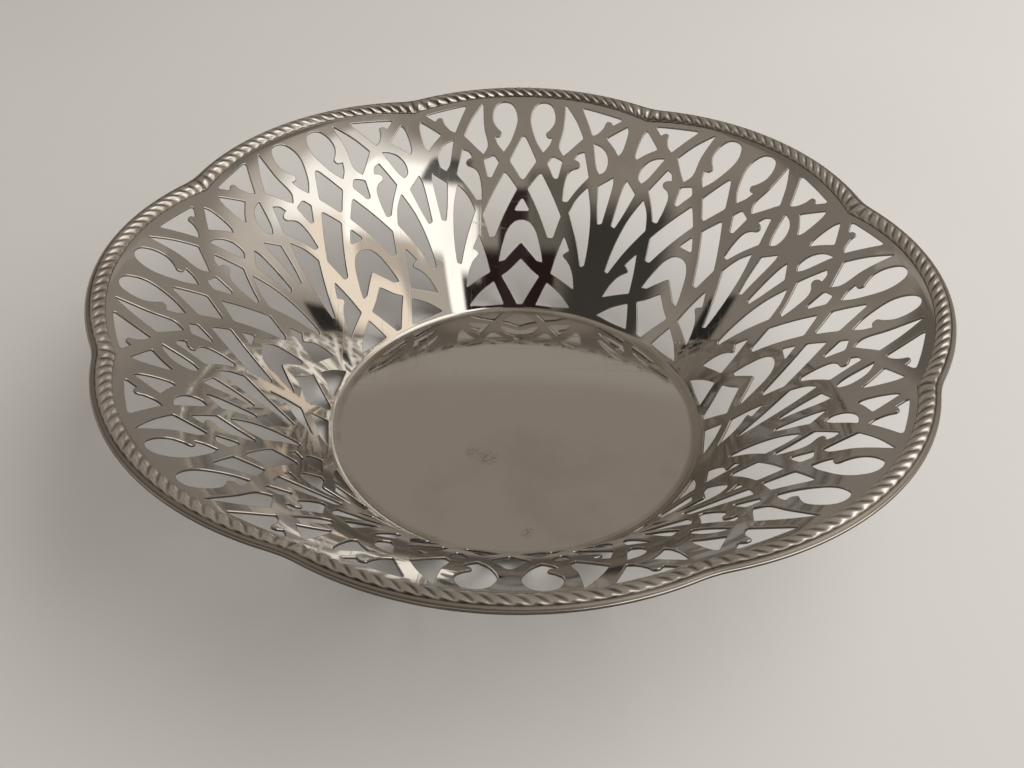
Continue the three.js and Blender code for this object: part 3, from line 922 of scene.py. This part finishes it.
class NodeBench:
    """Short calls to lay out the nodes of one tree."""

    def __init__(self, tree: bpy.types.NodeTree) -> None:
        """Keeps the tree."""
        self.tree = tree

    def add(self, kind: str, **settings: object) -> bpy.types.Node:
        """Adds a node.

        Args:
            kind: Type name of the node.
            **settings: Values of its own properties.

        Returns:
            The node.
        """
        node = self.tree.nodes.new(kind)
        for name, value in settings.items():
            setattr(node, name, value)
        return node

    def feed(self, socket: Socket, value: object) -> None:
        """Links a socket to another, or sets its constant.

        Args:
            socket: Input to feed.
            value: Output socket, number or colour.
        """
        if isinstance(value, bpy.types.NodeSocket):
            self.tree.links.new(value, socket)
        elif isinstance(value, (int, float)):
            socket.default_value = value
        else:
            socket.default_value = (*value, 1.0)[: len(socket.default_value)]

    def math(self, operation: str, *values: object, clamp: bool = False) -> Socket:
        """Returns the result of a sum on one to three values."""
        node = self.add("ShaderNodeMath", operation=operation, use_clamp=clamp)
        for socket, value in zip(node.inputs, values):
            self.feed(socket, value)
        return node.outputs[0]

    def fade(self, value: Socket, fade: Fade) -> Socket:
        """Maps a value smoothly from one range to another.

        Args:
            value: Value to map.
            fade: Both ranges.

        Returns:
            The mapped value.
        """
        node = self.add("ShaderNodeMapRange", interpolation_type="SMOOTHSTEP")
        node.inputs["From Min"].default_value = fade.low
        node.inputs["From Max"].default_value = fade.high
        node.inputs["To Min"].default_value = fade.start
        node.inputs["To Max"].default_value = fade.end
        self.feed(node.inputs["Value"], value)
        return node.outputs["Result"]

    def mix(self, share: object, first: object, second: object) -> Socket:
        """Returns a colour between two, at a share of the way to the second."""
        node = self.add("ShaderNodeMix", data_type="RGBA")
        self.feed(node.inputs["Factor"], share)
        self.feed(node.inputs[6], first)
        self.feed(node.inputs[7], second)
        return node.outputs[2]

    def noise(self, vector: Socket, grain: Grain) -> Socket:
        """Returns cloud-like variation round a half, over a place."""
        node = self.add("ShaderNodeTexNoise")
        self.feed(node.inputs["Vector"], vector)
        node.inputs["Scale"].default_value = grain.scale
        node.inputs["Detail"].default_value = grain.detail
        node.inputs["Roughness"].default_value = grain.rough
        return node.outputs["Fac"]

    def attribute(self, name: str) -> Socket:
        """Returns a value that the mesh keeps at its points."""
        return self.add("ShaderNodeAttribute", attribute_name=name).outputs["Fac"]

    def places(self, stretch: Place = (1.0, 1.0, 1.0), turn: Place = (0.0, 0.0, 0.0)) -> Socket:
        """Returns places on the piece in metres, stretched and turned if asked."""
        coordinates = self.add("ShaderNodeTexCoord").outputs["Object"]
        mapping = self.add("ShaderNodeMapping")
        mapping.inputs["Scale"].default_value = stretch
        mapping.inputs["Rotation"].default_value = turn
        self.feed(mapping.inputs["Vector"], coordinates)
        return mapping.outputs["Vector"]

    def bump(
        self, height: Socket, strength: float, depth: float, below: Socket | None = None
    ) -> Socket:
        """Returns normals that a height disturbs, on top of those below it."""
        node = self.add("ShaderNodeBump")
        node.inputs["Strength"].default_value = strength
        node.inputs["Distance"].default_value = depth
        self.feed(node.inputs["Height"], height)
        if below is not None:
            self.feed(node.inputs["Normal"], below)
        return node.outputs["Normal"]


@dataclass(frozen=True)
class Finish:
    """A node material made of a metal's colours and how worn it is."""

    name: str
    metal: Colour = (0.67, 0.645, 0.61)
    tarnish: Colour = (0.47, 0.42, 0.36)
    # Near-black of pits and grime, also used for painted shade along the rope's sides.
    soot_and_shade: Colour = (0.10, 0.085, 0.07)

    def _start(self) -> tuple[bpy.types.Material, NodeBench, bpy.types.Node]:
        """Returns a new metal material, its bench and its shader."""
        material = bpy.data.materials.new(self.name)
        material.use_nodes = True
        shader = material.node_tree.nodes["Principled BSDF"]
        shader.inputs["Metallic"].default_value = 1.0
        return material, NodeBench(material.node_tree), shader


@dataclass(frozen=True)
class PolishedSheet(Finish):
    """Polished silver plate with smudges, hairlines, small dark pits, tarnish at the foot and
    painted shade on the cut walls.
    """

    name: str = "silver_sheet"
    clouds: Grain = Grain(26.0, 4.0, 0.6)
    broad_clouds: Grain = Grain(9.0, 2.0)
    fine_grain: Grain = Grain(900.0, 2.0)
    foot_outside: Fade = Fade(3.2, 0.4)
    foot_inside: Fade = Fade(-1.6, 0.0)
    plain_band: Fade = Fade(76.0, 86.0, 0.0, 0.35)
    aged_clouds: Fade = Fade(0.35, 0.62)
    patches: Fade = Fade(0.26, 0.42, 0.0, 0.30)
    # Painted shade: the cut walls are darkened towards this near-black brown.
    painted_cut_wall_shade: Colour = (0.13, 0.115, 0.095)
    painted_cut_wall_shade_share: float = 0.9
    cut_from_above: Fade = Fade(0.22, 0.34)
    cut_from_below: Fade = Fade(0.70, 0.56)
    gloss: float = 0.035
    smudge_roughness: float = 0.05
    scratch_roughness: float = 0.10
    cut_roughness: float = 0.15
    foot_roughness: float = 0.18
    smudge_grain: Fade = Fade(0.2, 0.8, 0.7, 1.0)
    smudges: Fade = Fade(0.30, 0.62)
    swell: Grain = Grain(34.0, 1.0)
    swell_strength: float = 1.0
    swell_depth: float = 0.00002
    scratch_strength: float = 0.25
    scratch_depth: float = 0.00001
    scratch_lays: tuple[tuple[float, Place], ...] = (
        (0.5, (900.0, 14.0, 30.0)),
        (-0.9, (16.0, 1100.0, 30.0)),
    )
    scratch_grain: Grain = Grain(1.0, 2.0, 0.6)
    scratches: Fade = Fade(0.62, 0.72)
    pit_scale: float = 85.0
    pit_size: float = 0.045
    pit_core_share: float = 0.4
    pit_chance: Fade = Fade(0.72, 0.95)
    stain: Colour = (0.38, 0.315, 0.255)
    marks: tuple[tuple[Place, float], ...] = (
        ((-0.0130, -0.0170, 0.001), 0.0030),
        ((-0.0080, -0.0192, 0.001), 0.0042),
        ((0.0044, -0.0491, 0.001), 0.0028),
    )
    mark_core_share: float = 0.3
    mark_grain: Grain = Grain(1300.0, 3.0, 0.7)
    mark_rags: Fade = Fade(0.44, 0.62, 0.0, 0.8)

    def material(self) -> bpy.types.Material:
        """Makes the node material.

        Returns:
            The material.
        """
        material, bench, shader = self._start()
        cloud = bench.noise(bench.places(), self.clouds)
        length = bench.attribute("sheet_length")
        outside = bench.fade(length, self.foot_outside)
        foot = bench.math("MULTIPLY", outside, bench.fade(length, self.foot_inside))
        depth = bench.attribute("sheet_depth")
        from_above = bench.fade(depth, self.cut_from_above)
        cut = bench.math("MULTIPLY", from_above, bench.fade(depth, self.cut_from_below))
        scratched = self._scratched(bench)
        colour = self._aged(bench, cloud, length, foot)
        colour = bench.mix(self._pits(bench), colour, self.soot_and_shade)
        for centre, reach in self.marks:
            colour = bench.mix(self._mark(bench, centre, reach), colour, self.stain)
        # Painted shade on the cut walls, strongest between the two faces.
        edge = bench.math("MULTIPLY", cut, self.painted_cut_wall_shade_share)
        bench.feed(shader.inputs["Base Color"], bench.mix(edge, colour, self.painted_cut_wall_shade))
        rough: object = self.gloss
        for share, roughness in (
            (self._smudged(bench, cloud), self.smudge_roughness),
            (scratched, self.scratch_roughness),
            (cut, self.cut_roughness),
            (foot, self.foot_roughness),
        ):
            rough = bench.math("MULTIPLY_ADD", share, roughness, rough)
        bench.feed(shader.inputs["Roughness"], rough)
        swell = bench.noise(bench.places(), self.swell)
        swollen = bench.bump(swell, self.swell_strength, self.swell_depth)
        worn = bench.bump(scratched, self.scratch_strength, self.scratch_depth, swollen)
        bench.feed(shader.inputs["Normal"], worn)
        return material

    def _aged(self, bench: NodeBench, cloud: Socket, length: Socket, foot: Socket) -> Socket:
        """Colours the plate from bright metal to tarnish.

        Args:
            bench: Bench of the material's nodes.
            cloud: Broad variation over the plate.
            length: Length along the profile.
            foot: Share of the wall's foot.

        Returns:
            The colour.
        """
        worn = bench.math("ADD", foot, bench.fade(length, self.plain_band))
        aged = bench.math("MULTIPLY", worn, bench.fade(cloud, self.aged_clouds), clamp=True)
        broad = bench.noise(bench.places(), self.broad_clouds)
        patches = bench.fade(bench.math("MULTIPLY", cloud, broad), self.patches)
        return bench.mix(bench.math("MAXIMUM", aged, patches), self.metal, self.tarnish)

    def _smudged(self, bench: NodeBench, cloud: Socket) -> Socket:
        """Returns where the plate is smudged."""
        fine = bench.fade(bench.noise(bench.places(), self.fine_grain), self.smudge_grain)
        return bench.fade(bench.math("MULTIPLY", cloud, fine), self.smudges)

    def _mark(self, bench: NodeBench, centre: Place, reach: float) -> Socket:
        """Share of one small ragged stain on the floor.

        Args:
            bench: Bench of the material's nodes.
            centre: Middle of the stain, in metres.
            reach: Radius beyond which the plate is clean, in metres.

        Returns:
            The share.
        """
        places = bench.places()
        offset = bench.add("ShaderNodeVectorMath", operation="DISTANCE")
        bench.feed(offset.inputs[0], places)
        offset.inputs[1].default_value = centre
        core = Fade(reach, reach * self.mark_core_share)
        near = bench.fade(offset.outputs["Value"], core)
        ragged = bench.fade(bench.noise(places, self.mark_grain), self.mark_rags)
        return bench.math("MULTIPLY", near, ragged)

    def _scratched(self, bench: NodeBench) -> Socket:
        """Returns where polishing has left hairlines, in two directions."""
        lines = []
        for turn, stretch in self.scratch_lays:
            places = bench.places(stretch, (0.0, 0.0, turn))
            lines.append(bench.fade(bench.noise(places, self.scratch_grain), self.scratches))
        return bench.math("MAXIMUM", *lines)

    def _pits(self, bench: NodeBench) -> Socket:
        """Returns where the plate has small dark pits."""
        cells = bench.add("ShaderNodeTexVoronoi")
        bench.feed(cells.inputs["Vector"], bench.places())
        cells.inputs["Scale"].default_value = self.pit_scale
        chance = bench.add("ShaderNodeSeparateColor")
        bench.feed(chance.inputs[0], cells.outputs["Color"])
        core = Fade(self.pit_size, self.pit_size * self.pit_core_share)
        dot = bench.fade(cells.outputs["Distance"], core)
        return bench.math("MULTIPLY", dot, bench.fade(chance.outputs[0], self.pit_chance))


@dataclass(frozen=True)
class RopeSilver(Finish):
    """Satin silver of the stamped border, bright on its strands and dark down in its grooves, with
    painted shade along both sides of the rope.
    """

    name: str = "silver_rope"
    strand: Colour = (0.80, 0.765, 0.72)
    dull: Colour = (0.36, 0.32, 0.275)
    clouds: Grain = Grain(60.0, 3.0, 0.6)
    satin: Grain = Grain(1600.0, 2.0, 0.7)
    satin_in_dirt: float = 0.35
    tarnished: Fade = Fade(0.40, 0.65, 0.0, 0.35)
    grooves: Fade = Fade(0.40, 1.0, 0.0, 0.85)
    # Painted shade along the rope's inner foot and in its corner with the ledge.
    inner_seam_shade: Fade = Fade(0.30, 0.02, 0.0, 0.6)
    corner_shade_inside: Fade = Fade(3.6, 3.88)
    corner_shade_outside: Fade = Fade(4.15, 3.92)
    dirty_clouds: Fade = Fade(0.42, 0.80, 0.55, 1.0)
    ledge: Fade = Fade(3.86, 4.0)
    ledge_share: float = 0.85
    gloss: float = 0.18
    dirt_roughness: float = 0.30
    ledge_roughness: float = 0.25
    satin_roughness: float = 0.10
    satin_strength: float = 0.35
    satin_depth: float = 0.00003

    def material(self) -> bpy.types.Material:
        """Makes the node material.

        Returns:
            The material.
        """
        material, bench, shader = self._start()
        places = bench.places()
        cloud = bench.noise(places, self.clouds)
        satin = bench.noise(places, self.satin)
        across = bench.attribute("across")
        # Dark grime in the grooves and painted shade along both sides of the rope.
        dirt_and_shade = self._grime_and_seam_shade(bench, cloud, satin, across)
        colour = bench.mix(bench.fade(cloud, self.tarnished), self.strand, self.tarnish)
        ledge = bench.fade(across, self.ledge)
        colour = bench.mix(bench.math("MULTIPLY", ledge, self.ledge_share), colour, self.dull)
        bench.feed(shader.inputs["Base Color"], bench.mix(dirt_and_shade, colour, self.soot_and_shade))
        rough: object = self.gloss
        for share, roughness in (
            (dirt_and_shade, self.dirt_roughness),
            (ledge, self.ledge_roughness),
            (satin, self.satin_roughness),
        ):
            rough = bench.math("MULTIPLY_ADD", share, roughness, rough)
        bench.feed(shader.inputs["Roughness"], rough)
        bump = bench.bump(satin, self.satin_strength, self.satin_depth)
        bench.feed(shader.inputs["Normal"], bump)
        return material

    def _grime_and_seam_shade(self, bench: NodeBench, cloud: Socket, satin: Socket, across: Socket) -> Socket:
        """Share of the dark grime in the grooves and of the painted shade along both sides of the
        rope.

        Args:
            bench: Bench of the material's nodes.
            cloud: Broad variation over the border.
            satin: Fine variation over the border.
            across: Distance from the border's inner side.

        Returns:
            The share.
        """
        # Painted shade in the corner between the rope and the ledge, joined with that at the inner
        # seam.
        corner = bench.math(
            "MULTIPLY",
            bench.fade(across, self.corner_shade_inside),
            bench.fade(across, self.corner_shade_outside),
        )
        seam = bench.math("MAXIMUM", bench.fade(across, self.inner_seam_shade), corner)
        grooves = bench.fade(bench.attribute("groove"), self.grooves)
        mottled = bench.math("MULTIPLY_ADD", satin, self.satin_in_dirt, cloud)
        held = bench.fade(mottled, self.dirty_clouds)
        return bench.math("MULTIPLY", bench.math("MAXIMUM", grooves, seam), held)


@dataclass
class PhotoCamera:
    """Camera at the photograph's viewing angle."""

    focal_pixels: float = 1009.24
    image_width: float = 1024.0
    sensor_width: float = 36.0
    elevation: float = math.radians(41.979)
    distance: float = 324.2
    aim_height: float = 3.6
    turn: float = math.radians(0.4)
    pan: float = math.radians(-0.2749)
    tilt: float = math.radians(1.5275)
    roll: float = math.radians(1.2175)
    nearest: float = 0.01

    def build(self) -> bpy.types.Object:
        """Makes the camera and sets it as the scene's.

        Returns:
            The camera object.
        """
        back = Vector((0.0, -math.cos(self.elevation), math.sin(self.elevation)))
        place = back * self.distance + Vector((0.0, 0.0, self.aim_height))
        forward = -back
        right = Vector((1.0, 0.0, 0.0))
        up = right.cross(forward)
        forward, right = self._turned(forward, right, self.pan)
        forward, up = self._turned(forward, up, self.tilt)
        right, up = self._turned(right, up, self.roll)
        axes = Matrix((right, up, -forward)).transposed().to_4x4()
        world = Matrix.Rotation(self.turn, 4, "Z") @ Matrix.Translation(place * MM) @ axes
        data = bpy.data.cameras.new("photo_camera")
        data.sensor_fit = "HORIZONTAL"
        data.sensor_width = self.sensor_width
        data.lens = self.focal_pixels / self.image_width * self.sensor_width
        data.clip_start = self.nearest
        camera = bpy.data.objects.new("photo_camera", data)
        bpy.context.scene.collection.objects.link(camera)
        camera.matrix_world = world
        bpy.context.scene.camera = camera
        return camera

    @staticmethod
    def _turned(first: Vector, second: Vector, angle: float) -> tuple[Vector, Vector]:
        """Returns two axes turned in their own plane, the first towards the second."""
        cosine, sine = math.cos(angle), math.sin(angle)
        return first * cosine + second * sine, second * cosine - first * sine


@dataclass(frozen=True)
class Card:
    """A soft-edged area of the surround, in degrees clockwise from the far side and upwards."""

    colour: Colour
    azimuth: tuple[float, float]
    elevation: tuple[float, float]
    softness: float = 3.0
    share: float = 1.0

    def mask(self, bench: NodeBench, direction: Socket) -> Socket:
        """Share of the card in each direction.

        Args:
            bench: Bench of the surround's nodes.
            direction: Direction looked in.

        Returns:
            The share.
        """
        middle = math.radians(sum(self.azimuth) / 2)
        turned = bench.add("ShaderNodeVectorRotate", rotation_type="Z_AXIS")
        turned.inputs["Angle"].default_value = middle
        bench.feed(turned.inputs["Vector"], direction)
        parts = bench.add("ShaderNodeSeparateXYZ")
        bench.feed(parts.inputs[0], turned.outputs[0])
        bearing = bench.math("ARCTAN2", parts.outputs["X"], parts.outputs["Y"])
        sideways = bench.math("ABSOLUTE", bearing)
        raised = bench.math("ARCSINE", parts.outputs["Z"])
        centre = math.radians(sum(self.elevation) / 2)
        upward = bench.math("ABSOLUTE", bench.math("SUBTRACT", raised, centre))
        soft = math.radians(self.softness)
        half_width = math.radians(self.azimuth[1] - self.azimuth[0]) / 2
        half_height = math.radians(self.elevation[1] - self.elevation[0]) / 2
        sides = Fade(half_width + soft, half_width - soft)
        ends = Fade(half_height + soft, half_height - soft, 0.0, self.share)
        return bench.math("MULTIPLY", bench.fade(sideways, sides), bench.fade(upward, ends))


@dataclass
class Studio:
    """Plain pale floor, a dim surround with broad soft lights, and a soft lamp for the floor."""

    floor_size: float = 8.0
    floor_colour: Colour = (0.72, 0.703, 0.68)
    floor_shade_share: float = 0.94
    floor_clouds: Grain = Grain(7.0, 3.0)
    floor_roughness: float = 0.9
    floor_specular: float = 0.1
    # Painted shade: the floor's colour in the silver's reflections is darkened by this share.
    reflected_floor_shade_share: float = 0.43
    backdrop: Colour = (0.62, 0.60, 0.57)
    lamp_energy: float = 11.3
    lamp_size: float = 1.4
    lamp_place: Place = (0.75, 0.05, 0.75)
    ceiling: Colour = (0.32, 0.283, 0.245)
    cards: tuple[Card, ...] = (
        Card((0.305, 0.268, 0.232), (-100.0, 44.0), (-5.0, 75.0), 10.0),
        Card((0.26, 0.229, 0.197), (-85.0, -40.0), (0.0, 33.0), 5.0),
        Card((0.25, 0.222, 0.192), (-60.0, 44.0), (-5.0, 18.0), 3.0),
        Card((0.15, 0.132, 0.112), (-19.0, 8.0), (19.0, 34.5), 2.0),
        Card((0.245, 0.215, 0.186), (-94.0, -22.0), (27.0, 58.0), 4.0),
        Card((0.19, 0.166, 0.143), (-86.0, -54.0), (-2.0, 14.0), 3.0),
        Card((0.37, 0.332, 0.292), (-30.0, 30.0), (35.8, 39.6), 0.7),
        Card((0.19, 0.168, 0.144), (-45.0, 45.0), (53.5, 66.0), 2.0),
        Card((0.16, 0.145, 0.122), (184.0, 216.0), (26.0, 66.0), 3.0),
        Card((0.054, 0.050, 0.043), (206.0, 256.0), (5.0, 54.0), 6.0),
        Card((0.024, 0.014, 0.012), (146.0, 200.0), (5.0, 43.0), 1.5),
        Card((0.036, 0.024, 0.022), (168.0, 184.0), (30.0, 60.0), 1.5),
        Card((0.66, 0.60, 0.535), (46.0, 90.0), (26.0, 66.0), 8.0),
        Card((1.06, 1.02, 0.96), (60.0, 130.0), (42.0, 71.0), 5.0),
        Card((1.42, 1.38, 1.31), (66.0, 104.0), (45.0, 62.0), 4.0),
        Card((1.16, 1.02, 0.86), (76.0, 128.0), (19.0, 47.0), 3.0),
        Card((1.62, 1.58, 1.50), (92.0, 147.0), (40.0, 66.0), 2.0),
        Card((0.66, 0.575, 0.49), (96.0, 126.0), (33.0, 43.0), 2.5),
        Card((0.56, 0.51, 0.45), (114.0, 138.0), (24.0, 39.0), 2.5),
        Card((1.60, 1.56, 1.48), (138.0, 146.5), (29.0, 50.0), 1.2),
        Card((1.56, 1.52, 1.44), (140.0, 157.0), (37.0, 53.0), 1.5),
        Card((1.56, 1.52, 1.44), (98.0, 138.0), (4.0, 18.0), 3.0),
        Card((0.07, 0.07, 0.066), (124.0, 149.0), (60.0, 69.0), 1.5, 0.95),
        Card((0.024, 0.024, 0.022), (66.0, 76.0), (8.0, 22.0), 1.0),
        Card((0.024, 0.024, 0.022), (-79.0, -69.0), (14.0, 26.0), 1.0),
    )

    def build(self) -> None:
        """Makes the floor, the surround and the lamp."""
        self._floor()
        self._surround()
        self._lamp()

    def _floor(self) -> None:
        """Makes the pale floor, with painted shade where the silver reflects it."""
        bpy.ops.object.select_all(action="DESELECT")
        bpy.ops.mesh.primitive_plane_add(size=self.floor_size, location=(0.0, 0.0, 0.0))
        floor = bpy.context.view_layer.objects.active
        floor.name = "floor"
        material = bpy.data.materials.new("pale_floor")
        material.use_nodes = True
        bench = NodeBench(material.node_tree)
        shader = material.node_tree.nodes["Principled BSDF"]
        cloud = bench.noise(bench.places(), self.floor_clouds)
        shade = tuple(self.floor_shade_share * part for part in self.floor_colour)
        plain = bench.mix(cloud, shade, self.floor_colour)
        # Painted shade: in reflections the floor is darker than it is to the camera.
        reflected_floor_shade = tuple(self.reflected_floor_shade_share * part for part in self.floor_colour)
        glossy = bench.add("ShaderNodeLightPath").outputs["Is Glossy Ray"]
        bench.feed(shader.inputs["Base Color"], bench.mix(glossy, plain, reflected_floor_shade))
        shader.inputs["Roughness"].default_value = self.floor_roughness
        shader.inputs["Specular IOR Level"].default_value = self.floor_specular
        floor.data.materials.append(material)

    def _surround(self) -> None:
        """Makes the world that the silver mirrors, with a plain backdrop for the camera."""
        world = bpy.data.worlds.new("surround")
        world.use_nodes = True
        bench = NodeBench(world.node_tree)
        background = world.node_tree.nodes["Background"]
        direction = bench.add("ShaderNodeTexCoord").outputs["Generated"]
        colour: object = self.ceiling
        for card in self.cards:
            colour = bench.mix(card.mask(bench, direction), colour, card.colour)
        seen = bench.add("ShaderNodeLightPath").outputs["Is Camera Ray"]
        bench.feed(background.inputs["Color"], bench.mix(seen, colour, self.backdrop))
        bpy.context.scene.world = world

    def _lamp(self) -> None:
        """Hangs a broad soft lamp that lights the floor evenly and doesn't show in the silver."""
        lamp = bpy.data.lights.new("overhead", "AREA")
        lamp.energy = self.lamp_energy
        lamp.shape = "SQUARE"
        lamp.size = self.lamp_size
        holder = bpy.data.objects.new("overhead", lamp)
        bpy.context.scene.collection.objects.link(holder)
        place = Vector(self.lamp_place)
        holder.location = place
        holder.rotation_euler = place.to_track_quat("Z", "Y").to_euler()
        holder.visible_glossy = False


def corners(box: tuple[Vector, Vector]) -> list[list[float]]:
    """Returns the two corners of a box as plain lists."""
    return [list(corner) for corner in box]


def main() -> None:
    """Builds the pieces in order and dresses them."""
    logging.basicConfig(level=logging.INFO, format="%(name)s: %(message)s")
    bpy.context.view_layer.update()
    PhotoCamera().build()
    Studio().build()
    bpy.context.scene.view_settings.view_transform = "Standard"
    rim = LobedRim(SheetProfile())
    sheet = PiercedSheet(rim, Piercing(rim)).build()
    sheet.data.materials.append(PolishedSheet().material())
    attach(sheet, BODY)
    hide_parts("dish_body")
    LOG.info("%s: %d faces", sheet.name, len(sheet.data.polygons))
    rope_silver = RopeSilver().material()
    border = RopeBorder(rim)
    for index, piece in enumerate(border.build(), start=1):
        piece.name = piece.data.name = f"{border.name}_{index}"
        piece.data.materials.append(rope_silver)
        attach(piece, BODY)
        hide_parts(f"rope_border_{index}")
        LOG.info("%s: %d faces", piece.name, len(piece.data.polygons))


if __name__ == "__main__":
    main()
